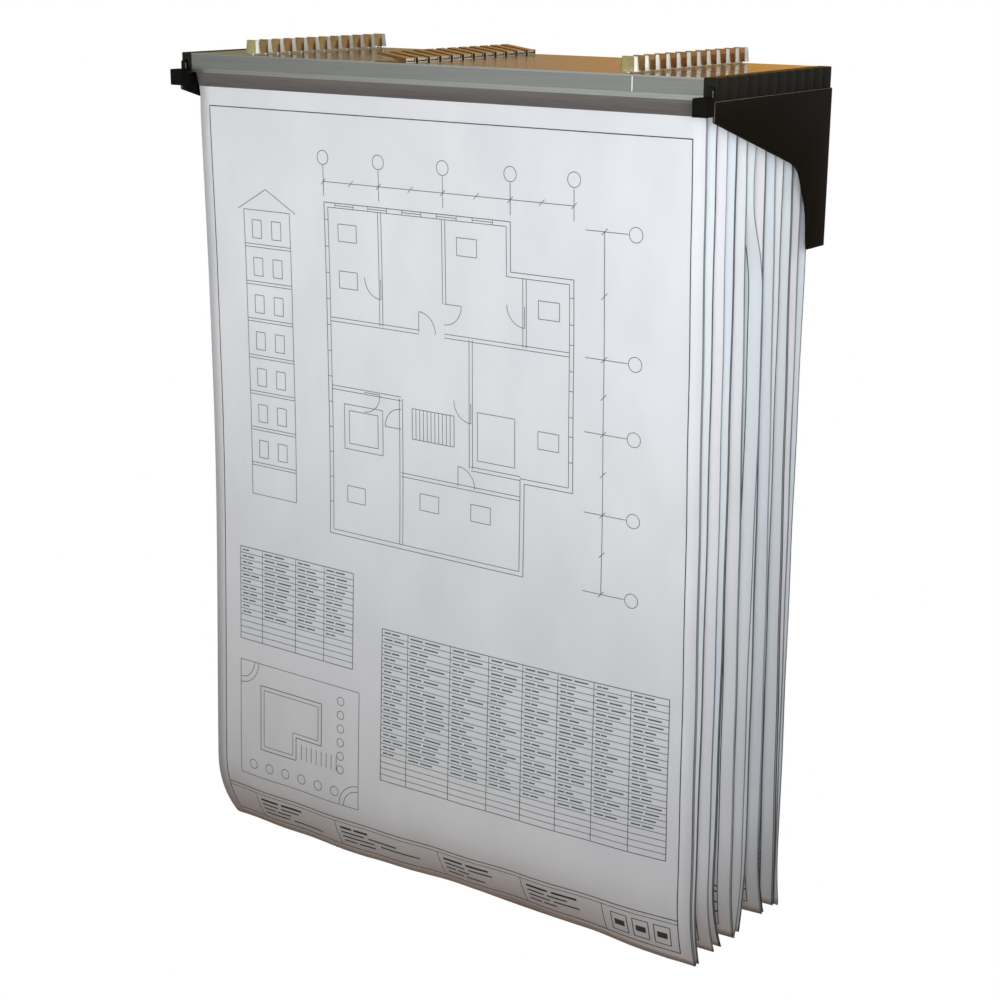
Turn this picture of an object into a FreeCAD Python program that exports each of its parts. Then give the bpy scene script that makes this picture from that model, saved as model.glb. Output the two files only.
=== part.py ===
"""Wall rack for hanging plans: two steel arms carry a row of hanging clamps, each gripping a set of sheets.

The frame is +Z up and the front faces -Y. The wall is the plane Y = 0, and the origin is the centre of the
four wall screws. All sizes are millimetres and live in the sheet "dims"; every outline is bound to it.
"""
import FreeCAD, Part
import os
import re

import Sketcher

V = FreeCAD.Vector

SIZES = {
    # row of clamps
    "clamp_count": 12,
    "clamp_pitch": 23.1,
    "clamp_height": 42.5,
    "clamp_depth": 21.0,
    "clamp_top": 115.0,
    # clamp housing, an open aluminium channel
    "top_wall": 2.0,
    "rear_wall": 2.0,
    "front_wall": 2.6,
    "face_height": 24.5,
    "hook_reach": 1.6,
    "hook_thickness": 1.6,
    "lip_rise": 13.0,
    "lip_root_rise": 17.0,
    # label channel in the front face
    "label_margin": 1.2,
    "label_lip": 0.8,
    "label_lip_depth": 0.4,
    "label_depth": 1.2,
    "label_width": 18.2,
    "label_thickness": 0.5,
    "short_label_length": 90.0,
    "label_joint_gap": 1.6,
    # jaw and the slot that grips the sheets
    "jaw_tail_drop": 12.5,
    "jaw_tail_thickness": 3.0,
    "jaw_tail_reach": 17.2,
    "jaw_web": 2.4,
    "jaw_lip_thickness": 2.4,
    "jaw_clearance": 0.4,
    "jaw_end_gap": 3.5,
    "grip_slant": 4.0,
    "grip_setback": 12.0,
    "grip_gap": 1.8,
    # thumb screws
    "screw_inset": 100.5,
    "screw_radius": 2.0,
    "screw_length": 20.0,
    "screw_hole_clearance": 0.4,
    "thread_clearance": 0.1,
    "collar_flats": 6.0,
    "collar_height": 2.1,
    "collar_gap": 0.2,
    "knob_width": 22.0,
    "knob_thickness": 8.4,
    "knob_height": 16.5,
    "knob_corner": 2.6,
    "knob_taper": 1.2,
    # lifting handle and its base
    "handle_width": 15.0,
    "handle_pivot": 29.0,
    "handle_length": 41.5,
    "handle_rise": 5.6,
    "handle_thickness": 3.2,
    "handle_lip": 2.6,
    "knuckle_radius": 2.2,
    "handle_pin_radius": 1.0,
    "pin_clearance": 0.15,
    "base_thickness": 1.2,
    "base_overhang": 4.0,
    "ear_thickness": 1.3,
    "ear_half_length": 3.2,
    "running_gap": 0.3,
    # end caps
    "cap_depth": 22.4,
    "cap_length": 16.5,
    "cap_height": 24.0,
    "cap_rim": 0.4,
    "cap_edge": 1.2,
    "plug_length": 14.0,
    "plug_height": 18.0,
    "plug_clearance": 0.25,
    # sheets
    "sheet_width": 762.0,
    "sheet_margin": 1.5,
    "sheet_length": 1066.8,
    "sheet_top_drop": 28.0,
    "bundle_thickness": 1.2,
    "curl_length": 60.0,
    "curl_depth": 9.0,
    # steel arms
    "steel": 2.5,
    "arm_clearance": 0.5,
    "seat_gap": 0.3,
    "wall_clearance": 0.8,
    "stop_gap": 1.5,
    "ledge_width": 14.0,
    "front_flange": 12.0,
    "front_depth": 22.5,
    "flange_drop": 16.0,
    "tab_width": 8.6,
    "tab_inset": 2.8,
    "tab_rise": 15.8,
    "knee_reach": 95.0,
    "knee_drop": 82.0,
    "hip_step": 19.0,
    "hip_fall": 11.0,
    "leg_bow": 8.5,
    "leg_drop": 142.0,
    "foot_reach": 46.0,
    "arm_drop": 188.0,
    "knee_radius": 26.0,
    "hip_radius": 24.0,
    "leg_radius": 60.0,
    "foot_radius": 3.0,
    "wall_flange": 28.0,
    "screw_edge": 16.0,
    "wall_screw_spacing": 130.0,
    "wall_screw_radius": 3.25,
    # front blocks
    "block_width": 18.3,
    "block_depth": 18.0,
    "block_height": 20.2,
    "block_drop": 20.2,
    "block_edge": 1.5,
}

# Places that several pieces share, as formulas of the sizes above.
HALF_BAR = "(sheet_width / 2 + sheet_margin)"
HALF_SPAN = f"({HALF_BAR} + cap_length + arm_clearance)"
SCREW_PLACE = f"({HALF_BAR} - screw_inset)"
LABEL_JOINT = f"({HALF_BAR} - short_label_length - label_joint_gap)"
REAR_SEAT = "(steel + wall_clearance + (clamp_depth + cap_depth) / 2)"
CAP_OVERHANG = "(cap_depth - clamp_depth) / 2"
FRONT_FACE = f"({REAR_SEAT} + (clamp_count - 1) * clamp_pitch)"
ARM_FRONT = f"({FRONT_FACE} + {CAP_OVERHANG} + stop_gap + steel)"
HIP_REACH = "(knee_reach - hip_step)"
HIP_DROP = "(knee_drop + hip_fall)"
LEDGE_TOP = "(clamp_top - cap_height - seat_gap)"
GRIP_TOP = "-clamp_height + lip_rise"
GRIP_TOP_SETBACK = "(grip_setback - grip_slant)"
SCREW_LINE = "clamp_depth / 2"
PIVOT_RISE = "(base_thickness + running_gap + knuckle_radius)"
JAW_LENGTH = f"(2 * ({HALF_BAR} - plug_length - 2 * plug_clearance))"

doc = FreeCAD.newDocument("plan_rack")
dims = doc.addObject("Spreadsheet::Sheet", "dims")
for row, (alias, value) in enumerate(SIZES.items(), 1):
    dims.set(f"A{row}", alias)
    dims.set(f"B{row}", str(value))
    dims.setAlias(f"B{row}", alias)
doc.recompute()


def bound(formula):
    """The formula with each size written as a cell of the sheet."""
    return re.sub("[a-z_]+", lambda word: "dims." * (word.group() in SIZES) + word.group(), formula)


def number(formula):
    """The value of a formula of the sizes, in millimetres."""
    return float(dims.evalExpression(bound(formula)))


def plane(body, role):
    """One of the body's own origin planes."""
    return next(item for item in body.Origin.OriginFeatures if item.Role == role)


def sketch_on(body, role, offset="0"):
    """An empty sketch on an origin plane of the body, moved along its normal by offset."""
    sketch = body.newObject("Sketcher::SketchObject", body.Name + "_outline")
    sketch.AttachmentSupport = [(plane(body, role), "")]
    sketch.MapMode = "FlatFace"
    sketch.setExpression("AttachmentOffset.Base.z", bound(offset))
    return sketch


def hold_point(sketch, geometry, vertex, place):
    """Ties a sketch point to its two formulas."""
    for kind, formula in zip(("DistanceX", "DistanceY"), place):
        item = sketch.addConstraint(Sketcher.Constraint(kind, -1, 1, geometry, vertex, number(formula)))
        sketch.setExpression(f"Constraints[{item}]", bound(formula))


def draw_outline(sketch, corners, arc_through=None):
    """A closed outline through the corners. With arc_through, a half circle closes it instead of a line."""
    places = [V(number(across), number(up), 0) for across, up in corners]
    count = len(places)
    base = sketch.GeometryCount
    for index in range(count):
        start, end = places[index], places[(index + 1) % count]
        if index == count - 1 and arc_through:
            middle = V(number(arc_through[0]), number(arc_through[1]), 0)
            sketch.addGeometry(Part.Arc(start, middle, end), False)
        else:
            sketch.addGeometry(Part.LineSegment(start, end), False)
    straight = count - 1 if arc_through else count
    for index in range(straight):
        if index + 1 < straight:
            sketch.addConstraint(Sketcher.Constraint("Coincident", base + index, 2, base + index + 1, 1))
        hold_point(sketch, base + index, 1, corners[index])
    last = base + count - 1
    if not arc_through:
        sketch.addConstraint(Sketcher.Constraint("Coincident", last, 2, base, 1))
        return
    hold_point(sketch, last - 1, 2, corners[-1])
    ends = sketch.Geometry[last]
    first_is_start = (ends.StartPoint - places[-1]).Length < (ends.EndPoint - places[-1]).Length
    near, far = (1, 2) if first_is_start else (2, 1)
    sketch.addConstraint(Sketcher.Constraint("Coincident", last - 1, 2, last, near))
    sketch.addConstraint(Sketcher.Constraint("Coincident", base, 1, last, far))
    level = abs(places[0].y - places[-1].y) < abs(places[0].x - places[-1].x)
    kind, axis = ("DistanceY", 1) if level else ("DistanceX", 0)
    centre = f"({corners[0][axis]} + {corners[-1][axis]}) / 2"
    item = sketch.addConstraint(Sketcher.Constraint(kind, -1, 1, last, 3, number(centre)))
    sketch.setExpression(f"Constraints[{item}]", bound(centre))


def draw_circle(sketch, centre, radius):
    """A circle held by its centre and radius."""
    place = V(number(centre[0]), number(centre[1]), 0)
    circle = sketch.addGeometry(Part.Circle(place, V(0, 0, 1), number(radius)), False)
    hold_point(sketch, circle, 3, centre)
    item = sketch.addConstraint(Sketcher.Constraint("Radius", circle, number(radius)))
    sketch.setExpression(f"Constraints[{item}]", bound(radius))


def new_body(name):
    """A body to hold one rigid solid."""
    return doc.addObject("PartDesign::Body", name)


def pad(body, sketch, length, both_sides=False, draft=None):
    """Thickens a sketch along its normal."""
    feature = body.newObject("PartDesign::Pad", body.Name + "_pad")
    feature.Profile = sketch
    feature.setExpression("Length", bound(length))
    if both_sides:
        feature.SideType = "Symmetric"
    if draft:
        feature.setExpression("TaperAngle", bound(draft))
    doc.recompute()
    return feature


def pocket(body, sketch, length, both_sides=False):
    """Cuts a sketch through the body against its normal."""
    feature = body.newObject("PartDesign::Pocket", body.Name + "_pocket")
    feature.Profile = sketch
    feature.setExpression("Length", bound(length))
    if both_sides:
        feature.SideType = "Symmetric"
    doc.recompute()
    if feature.Shape.Volume >= feature.BaseFeature.Shape.Volume:
        raise RuntimeError(body.Name + ": the pocket removes nothing")
    return feature


def rectangle(across_from, across_to, up_from, up_to):
    """The four corners of an upright rectangle."""
    return [(across_from, up_from), (across_to, up_from), (across_to, up_to), (across_from, up_to)]


def block(body, across_from, across_to, up_from, up_to, start, length):
    """A box on the YZ plane: across is Y, up is Z, and it runs along X from start by length."""
    sketch = sketch_on(body, "YZ_Plane", start)
    draw_outline(sketch, rectangle(across_from, across_to, up_from, up_to))
    return pad(body, sketch, length)


def finish_edges(body, feature, places, kind, size):
    """Rounds or chamfers the straight edges whose middles lie nearest to the places (X, Y, Z formulas)."""
    names = []
    for place in places:
        target = V(*(number(formula) for formula in place))
        middles = [edge.valueAt(sum(edge.ParameterRange) / 2) for edge in feature.Shape.Edges]
        misses = [(middle - target).Length for middle in middles]
        names.append(f"Edge{misses.index(min(misses)) + 1}")
    finish = body.newObject("PartDesign::" + kind, body.Name + "_edges")
    finish.Base = (feature, names)
    finish.setExpression("Radius" if kind == "Fillet" else "Size", bound(size))
    doc.recompute()
    return finish


def screw_holes(body, top, length, radius, square):
    """Two holes down from a level, one on each screw line: round, or square ones that cost fewer faces."""
    sketch = sketch_on(body, "XY_Plane", top)
    for side in ("-", ""):
        centre = f"{side}{SCREW_PLACE}"
        if square:
            draw_outline(sketch, rectangle(
                f"{centre} - ({radius})", f"{centre} + {radius}",
                f"{SCREW_LINE} - ({radius})", f"{SCREW_LINE} + {radius}"))
        else:
            draw_circle(sketch, (centre, SCREW_LINE), radius)
    return pocket(body, sketch, length)


def make_bar(name, square_holes):
    """Clamp housing: a channel, open below, whose rear wall ends in the slanted fixed lip of the grip.

    In its own frame, Y = 0 is its front face and Z = 0 its top.
    """
    body = new_body(name)
    sketch = sketch_on(body, "YZ_Plane")
    label_low = "-label_margin - label_width"
    inner_rear = "clamp_depth - rear_wall"
    draw_outline(sketch, [
        ("0", "0"), ("clamp_depth", "0"), ("clamp_depth", "-clamp_height"),
        ("grip_setback + grip_gap", "-clamp_height"),
        (f"{GRIP_TOP_SETBACK} + grip_gap", GRIP_TOP),
        (inner_rear, "-clamp_height + lip_root_rise"), (inner_rear, "-top_wall"),
        ("front_wall", "-top_wall"), ("front_wall", "-face_height + hook_thickness"),
        ("front_wall + hook_reach", "-face_height + hook_thickness"),
        ("front_wall + hook_reach", "-face_height"), ("0", "-face_height"),
        ("0", f"{label_low} + label_lip"), ("label_lip_depth", f"{label_low} + label_lip"),
        ("label_lip_depth", label_low), ("label_depth", label_low),
        ("label_depth", "-label_margin"), ("label_lip_depth", "-label_margin"),
        ("label_lip_depth", "-label_margin - label_lip"), ("0", "-label_margin - label_lip"),
    ])
    pad(body, sketch, f"2 * {HALF_BAR}", both_sides=True)
    screw_holes(body, "0", "top_wall * 1.5", "screw_radius + screw_hole_clearance", square_holes)
    return body


def make_jaw(name, square_holes):
    """Sliding jaw: a tail that the screws draw up, a web behind the front wall and the slanted front lip."""
    body = new_body(name)
    front = "front_wall + hook_reach + jaw_clearance"
    web_rear = f"{front} + jaw_web"
    face_top = f"{GRIP_TOP} + ({GRIP_TOP_SETBACK} - ({web_rear})) * lip_rise / grip_slant"
    tail_low = "-jaw_tail_drop - jaw_tail_thickness"
    below_plug = "-top_wall - plug_height - plug_clearance - jaw_clearance"
    lip = [
        (web_rear, face_top), ("grip_setback", "-clamp_height"),
        ("grip_setback - jaw_lip_thickness", "-clamp_height"), (front, "-face_height - jaw_clearance"),
    ]
    tail = [
        (front, "-jaw_tail_drop"), ("jaw_tail_reach", "-jaw_tail_drop"), ("jaw_tail_reach", tail_low),
        (web_rear, tail_low),
    ]
    between_caps = sketch_on(body, "YZ_Plane")
    draw_outline(between_caps, tail + lip)
    pad(body, between_caps, JAW_LENGTH, both_sides=True)
    full_length = sketch_on(body, "YZ_Plane")
    draw_outline(full_length, [(front, below_plug), (web_rear, below_plug)] + lip)
    pad(body, full_length, f"2 * ({HALF_BAR} - jaw_end_gap)", both_sides=True)
    radius = "screw_radius + thread_clearance"
    screw_holes(body, "-jaw_tail_drop", "jaw_tail_thickness * 1.1", radius, square_holes)
    return body


def make_label():
    """The two label strips in the channel of the front face, with the open joint between them."""
    strips = []
    ends = (
        ("long_label", f"-{HALF_BAR}", f"{LABEL_JOINT} + {HALF_BAR}"),
        ("short_label", f"{LABEL_JOINT} + label_joint_gap", "short_label_length"),
    )
    middle = "(label_lip_depth + label_depth) / 2"
    for name, start, length in ends:
        body = new_body(name)
        block(body, f"{middle} - label_thickness / 2", f"{middle} + label_thickness / 2",
              "-label_margin - label_width + label_lip_depth", "-label_margin - label_lip_depth",
              start, length)
        strips.append(body)
    return strips


def make_cap():
    """Right end cap: a block with chamfered edges, and the plug that fills the end of the bar's channel."""
    body = new_body("right_cap")
    front = f"-{CAP_OVERHANG}"
    rear = f"clamp_depth + {CAP_OVERHANG}"
    outer = block(body, front, rear, "-cap_height", "cap_rim", HALF_BAR, "cap_length")
    end = f"{HALF_BAR} + cap_length"
    middle = "(cap_rim - cap_height) / 2"
    finish_edges(body, outer, [
        (end, front, middle), (end, rear, middle),
        (end, SCREW_LINE, "cap_rim"), (f"{HALF_BAR} + cap_length / 2", front, "cap_rim"),
    ], "Chamfer", "cap_edge")
    block(body, "front_wall + plug_clearance", "clamp_depth - rear_wall - plug_clearance",
          "-top_wall - plug_clearance - plug_height", "-top_wall - plug_clearance",
          f"{HALF_BAR} - plug_length", "plug_length")
    return body


def knob_outline(body, height, shrink):
    """The knob's plan at a height: a block with cut corners, drawn in by shrink on every side."""
    sketch = sketch_on(body, "XY_Plane", height)
    wide, deep = f"(knob_width / 2 - {shrink})", f"(knob_thickness / 2 - {shrink})"
    corners = []
    quarters = (("-", "-", True), ("+", "-", False), ("+", "+", True), ("-", "+", False))
    for across, along, side_first in quarters:
        inward = "+" if across == "-" else "-"
        back = "+" if along == "-" else "-"
        side = f"{SCREW_PLACE} {across} {wide}"
        face = f"{SCREW_LINE} {along} {deep}"
        pair = [(side, f"{face} {back} knob_corner"), (f"{side} {inward} knob_corner", face)]
        corners += pair if side_first else reversed(pair)
    draw_outline(sketch, corners)
    return sketch


def make_knob():
    """Knob of the right thumb screw: a block with cut corners, wider at its foot, on the screw's collar."""
    body = new_body("right_knob")
    foot = "collar_gap + collar_height"
    loft = body.newObject("PartDesign::AdditiveLoft", "right_knob_loft")
    loft.Profile = knob_outline(body, foot, "0")
    loft.Sections = [(knob_outline(body, foot + " + knob_height", "knob_taper"), [""])]
    loft.Ruled = True
    return body


def make_screw():
    """Right thumb screw: the shank through bar and jaw, and the hexagonal collar that bears on the bar."""
    body = new_body("right_screw")
    shank = sketch_on(body, "XY_Plane", "-screw_length")
    draw_circle(shank, (SCREW_PLACE, SCREW_LINE), "screw_radius")
    pad(body, shank, "screw_length + collar_gap + collar_height")
    collar = sketch_on(body, "XY_Plane", "collar_gap")
    half = "collar_flats / 2"
    point = f"{half} / cos(30)"
    flank = f"{half} * tan(30)"
    rear, front = f"{SCREW_LINE} + {half}", f"{SCREW_LINE} - {half}"
    draw_outline(collar, [
        (f"{SCREW_PLACE} + {point}", SCREW_LINE), (f"{SCREW_PLACE} + {flank}", rear),
        (f"{SCREW_PLACE} - {flank}", rear), (f"{SCREW_PLACE} - {point}", SCREW_LINE),
        (f"{SCREW_PLACE} - {flank}", front), (f"{SCREW_PLACE} + {flank}", front),
    ])
    pad(body, collar, "collar_height")
    return body


def make_handle(name, with_pin):
    """Folding handle: a knuckle on the pin, and a strap that rises to a turned-down finger lip."""
    body = new_body(name)
    sketch = sketch_on(body, "XZ_Plane", f"-{SCREW_LINE}")
    tip = "-handle_pivot - handle_length"
    knuckle_top = f"{PIVOT_RISE} + knuckle_radius"
    knuckle_low = f"{PIVOT_RISE} - knuckle_radius"
    draw_outline(sketch, [
        ("-handle_pivot", knuckle_top),
        (tip, f"{knuckle_top} + handle_rise"),
        (f"{tip} - handle_lip / 2", f"{knuckle_top} + handle_rise - handle_lip"),
        (f"{tip} + handle_lip", f"{knuckle_top} + handle_rise - handle_thickness"),
        (f"-handle_pivot - handle_length / 2", f"{knuckle_top} + handle_rise / 2 - handle_thickness"),
        ("-handle_pivot - handle_length / 5", knuckle_low),
        ("-handle_pivot", knuckle_low),
    ], arc_through=(f"-handle_pivot + knuckle_radius", PIVOT_RISE))
    pad(body, sketch, "handle_width", both_sides=True)
    if not with_pin:
        return body
    bore = sketch_on(body, "XZ_Plane", f"-{SCREW_LINE}")
    draw_circle(bore, ("-handle_pivot", PIVOT_RISE), "handle_pin_radius + pin_clearance")
    pocket(body, bore, "handle_width * 1.1", both_sides=True)
    return body


def make_handle_base(name, with_pin):
    """Base plate under the handle, with two ears that hold the hinge pin."""
    body = new_body(name)
    outer = "(handle_width / 2 + running_gap + ear_thickness)"
    inner = "(handle_width / 2 + running_gap)"
    left = "-handle_pivot - handle_length - base_overhang"
    right = "-handle_pivot + ear_half_length"
    block(body, f"{SCREW_LINE} - {outer}", f"{SCREW_LINE} + {outer}", "0", "base_thickness",
          left, f"{right} - ({left})")
    for near, far in ((f"-{outer}", f"-{inner}"), (inner, outer)):
        block(body, f"{SCREW_LINE} + {near}", f"{SCREW_LINE} + {far}", "0",
              f"{PIVOT_RISE} + knuckle_radius", "-handle_pivot - ear_half_length", "2 * ear_half_length")
    if not with_pin:
        return body
    pin = sketch_on(body, "XZ_Plane", f"-{SCREW_LINE}")
    draw_circle(pin, ("-handle_pivot", PIVOT_RISE), "handle_pin_radius")
    pad(body, pin, f"2 * {outer}", both_sides=True)
    return body


def make_bundle():
    """The sheets of one clamp, as one closed slab that follows the slanted grip and curls at its foot."""
    body = new_body("bundle")
    sketch = sketch_on(body, "YZ_Plane")
    slope = "(grip_slant / lip_rise)"
    clearance = "(grip_gap - bundle_thickness) / 2"
    front = f"grip_setback + {clearance}"
    top_front = f"{front} - {slope} * (clamp_height - sheet_top_drop)"
    foot = "-sheet_top_drop - sheet_length"
    draw_outline(sketch, [
        (top_front, "-sheet_top_drop"),
        (f"{top_front} + bundle_thickness", "-sheet_top_drop"),
        (f"{front} + bundle_thickness", "-clamp_height"),
        (f"{front} + bundle_thickness", f"{foot} + curl_length"),
        (f"{front} + bundle_thickness + curl_depth", foot),
        (f"{front} + curl_depth", foot),
        (front, f"{foot} + curl_length"),
        (front, "-clamp_height"),
    ])
    pad(body, sketch, "sheet_width", both_sides=True)
    return body


def make_arm():
    """Right arm: a folded steel plate with a ledge, a front flange with its stop tab, and a wall flange."""
    body = new_body("right_arm")
    outline = sketch_on(body, "YZ_Plane", f"{HALF_SPAN} - steel")
    top = LEDGE_TOP
    knee = ("-knee_reach", f"{top} - knee_drop")
    hip = (f"-{HIP_REACH}", f"{top} - {HIP_DROP}")
    down_leg = f"(leg_drop - {HIP_DROP}) / (arm_drop - {HIP_DROP})"
    leg = (f"-{HIP_REACH} + ({HIP_REACH} - foot_reach) * {down_leg} + leg_bow", f"{top} - leg_drop")
    foot = ("-foot_reach", f"{top} - arm_drop")
    draw_outline(outline, [
        (f"-{ARM_FRONT}", top), (f"-{ARM_FRONT}", f"{top} - front_depth"),
        knee, hip, leg, foot, ("0", f"{top} - arm_drop"), ("0", top),
    ])
    plate = pad(body, outline, "steel")
    mid_plate = f"{HALF_SPAN} - steel / 2"
    bends = ((knee, "knee_radius"), (hip, "hip_radius"), (leg, "leg_radius"), (foot, "foot_radius"))
    for corner, radius in bends:
        plate = finish_edges(body, plate, [(mid_plate, *corner)], "Fillet", radius)
    block(body, f"-{ARM_FRONT}", "0", f"{top} - steel", top, f"{HALF_SPAN} - ledge_width", "ledge_width")
    block(body, f"-{ARM_FRONT}", f"-{ARM_FRONT} + steel", f"{top} - flange_drop", top,
          f"{HALF_SPAN} - front_flange", "front_flange")
    tab = sketch_on(body, "XZ_Plane", f"{ARM_FRONT} - steel")
    shoulder = f"{top} + tab_rise - tab_width / 2"
    tab_outer = f"({HALF_SPAN} - tab_inset)"
    tab_inner = f"{tab_outer} - tab_width"
    draw_outline(tab, [
        (tab_inner, shoulder), (tab_inner, f"{top} - steel"),
        (tab_outer, f"{top} - steel"), (tab_outer, shoulder),
    ], arc_through=(f"{tab_outer} - tab_width / 2", f"{top} + tab_rise"))
    pad(body, tab, "steel")
    block(body, "-steel", "0", f"{top} - arm_drop", top, f"{HALF_SPAN} - wall_flange", "wall_flange")
    holes = sketch_on(body, "XZ_Plane")
    hole_line = f"{HALF_SPAN} - screw_edge"
    for side in ("-", ""):
        draw_circle(holes, (hole_line, f"{side}wall_screw_spacing / 2"), "wall_screw_radius")
    pocket(body, holes, "3 * steel", both_sides=True)
    return body


def make_front_block():
    """Right front block: a moulded bumper on the front flange, flush with the arm's outer face."""
    body = new_body("right_front_block")
    front, rear = f"-{ARM_FRONT} - block_depth", f"-{ARM_FRONT}"
    high, low = "clamp_top - block_drop", "clamp_top - block_drop - block_height"
    inner = f"{HALF_SPAN} - block_width"
    solid = block(body, front, rear, low, high, inner, "block_width")
    mid_x = f"{HALF_SPAN} - block_width / 2"
    mid_z = f"({high} + {low}) / 2"
    finish_edges(body, solid, [
        (mid_x, front, high), (mid_x, front, low), (inner, front, mid_z), (HALF_SPAN, front, mid_z),
    ], "Fillet", "block_edge")
    return body


def mirrored(source, name):
    """The left-hand copy of a right-hand piece."""
    copy = doc.addObject("Part::Mirroring", name)
    copy.Source = source
    copy.Normal = V(1, 0, 0)
    return copy


def node(label, pieces, clamp_number=None):
    """A named sub-part of separate solids. One of a numbered clamp takes that clamp's place in the row."""
    group = doc.addObject("Part::Compound", label)
    group.Label = label
    group.Links = pieces
    if clamp_number:
        place = f"-{FRONT_FACE} + {clamp_number - 1} * clamp_pitch"
        group.setExpression("Placement.Base.y", bound(place))
        group.setExpression("Placement.Base.z", bound("clamp_top"))
    return group


def hang_clamps():
    """The row of clamps. The front one is taken apart piece by piece.

    The rest keep their thumb screws and sheets as nodes, with a plainer frame: square holes and no hinge pin.
    """
    bar, jaw, labels = make_bar("bar", False), make_jaw("jaw", False), make_label()
    cap_right, knob_right, screw_right = make_cap(), make_knob(), make_screw()
    cap_left = mirrored(cap_right, "left_cap")
    knob_left = mirrored(knob_right, "left_knob")
    screw_left = mirrored(screw_right, "left_screw")
    handle, base = make_handle("folding_handle", True), make_handle_base("handle_base", True)
    bundle = make_bundle()
    plain_frame = [
        make_bar("plain_bar", True), make_jaw("plain_jaw", True), *labels, cap_left, cap_right,
        make_handle_base("plain_handle_base", False), make_handle("plain_handle", False),
    ]
    nodes = [
        node("clamp_01_bar", [bar], 1),
        node("clamp_01_jaw", [jaw], 1),
        node("clamp_01_label_strips", labels, 1),
        node("clamp_01_cap_left", [cap_left], 1),
        node("clamp_01_cap_right", [cap_right], 1),
        node("clamp_01_handle_base", [base], 1),
        node("clamp_01_handle", [handle], 1),
        node("clamp_01_knob_left", [knob_left], 1),
        node("clamp_01_screw_left", [screw_left], 1),
        node("clamp_01_knob_right", [knob_right], 1),
        node("clamp_01_screw_right", [screw_right], 1),
        node("clamp_01_sheets", [bundle], 1),
    ]
    for index in range(2, int(number("clamp_count")) + 1):
        name = f"clamp_{index:02d}"
        nodes += [
            node(name + "_frame", plain_frame, index),
            node(name + "_knob_left", [knob_left, screw_left], index),
            node(name + "_knob_right", [knob_right, screw_right], index),
            node(name + "_sheets", [bundle], index),
        ]
    return nodes


def wall_arms():
    """The two arms and the block on the front of each."""
    arm, bumper = make_arm(), make_front_block()
    return [
        node("arm_right", [arm]),
        node("arm_left", [mirrored(arm, "left_arm")]),
        node("front_blocks", [bumper, mirrored(bumper, "left_front_block")]),
    ]


sub_parts = wall_arms() + hang_clamps()
doc.recompute()
for item in doc.Objects:
    if "Invalid" in item.State or "Error" in item.State:
        raise RuntimeError(f"{item.Label} did not build: {item.State}")
os.makedirs("parts", exist_ok=True)
for sub_part in sub_parts:
    shape = sub_part.Shape
    if shape.isNull() or not shape.isValid() or not shape.Solids:
        raise RuntimeError(sub_part.Label + " has no valid solid")
    shape.exportStep(f"parts/{sub_part.Label}.step")
print(len(sub_parts), "sub-parts written")
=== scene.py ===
"""Looks of the plan hanging rack: finished hard pieces, hanging sheets with a generic plan, light and camera.

Metres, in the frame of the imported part. Places on a clamp or a sheet are written in millimetres and turned
into metres by MM. A clamp's own origin is the top of its front face. On a sheet, u runs from 0 at its left
edge to 1 at its right edge, and t from 0 at its grip to 1 at its foot.
"""

import math
import random

import bmesh
import bpy
from mathutils import Matrix, Vector


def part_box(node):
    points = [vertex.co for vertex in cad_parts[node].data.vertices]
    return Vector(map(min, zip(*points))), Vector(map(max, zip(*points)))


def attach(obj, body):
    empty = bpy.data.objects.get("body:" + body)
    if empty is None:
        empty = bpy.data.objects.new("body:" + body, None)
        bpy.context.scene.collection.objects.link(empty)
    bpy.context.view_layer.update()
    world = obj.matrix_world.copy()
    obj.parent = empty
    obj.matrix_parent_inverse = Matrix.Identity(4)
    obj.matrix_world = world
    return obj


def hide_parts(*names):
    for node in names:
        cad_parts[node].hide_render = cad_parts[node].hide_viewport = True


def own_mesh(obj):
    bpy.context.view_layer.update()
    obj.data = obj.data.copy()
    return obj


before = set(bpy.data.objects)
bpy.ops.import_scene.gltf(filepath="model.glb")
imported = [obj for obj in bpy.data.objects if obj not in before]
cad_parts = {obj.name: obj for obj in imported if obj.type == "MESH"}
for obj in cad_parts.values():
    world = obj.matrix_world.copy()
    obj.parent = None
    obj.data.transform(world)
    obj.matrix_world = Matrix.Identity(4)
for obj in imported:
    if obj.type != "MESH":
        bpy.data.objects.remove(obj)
scene = bpy.context.scene
MM = 0.001


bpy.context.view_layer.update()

CLAMPS = 12
FRONT_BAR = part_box("clamp_01_bar")
FIRST_FACE = FRONT_BAR[0][1]
CLAMP_TOP = FRONT_BAR[1][2]
PITCH = (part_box("clamp_12_sheets")[0][1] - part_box("clamp_01_sheets")[0][1]) / (CLAMPS - 1)
SHEET_WIDTH = 762.0
SHEET_LENGTH = 1066.8


def clamp_name(clamp):
    return f"clamp_{clamp + 1:02d}"


def placed(name, work, material):
    """Turns worked faces into a piece of the scene."""
    mesh = bpy.data.meshes.new(name)
    work.to_mesh(mesh)
    work.free()
    mesh.materials.append(material)
    piece = bpy.data.objects.new(name, mesh)
    scene.collection.objects.link(piece)
    return piece


# ---------------------------------------------------------------- materials

RAMP_ENDS = (0.3, 0.7)
RELIEF_STRENGTH = 0.5


def new_material(name):
    """A material with its shader, and object coordinates to work from."""
    material = bpy.data.materials.new(name)
    material.use_nodes = True
    nodes = material.node_tree.nodes
    shader = nodes["Principled BSDF"]
    place = nodes.new("ShaderNodeTexCoord")
    return material, nodes, material.node_tree.links, shader, place.outputs["Object"]


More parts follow.
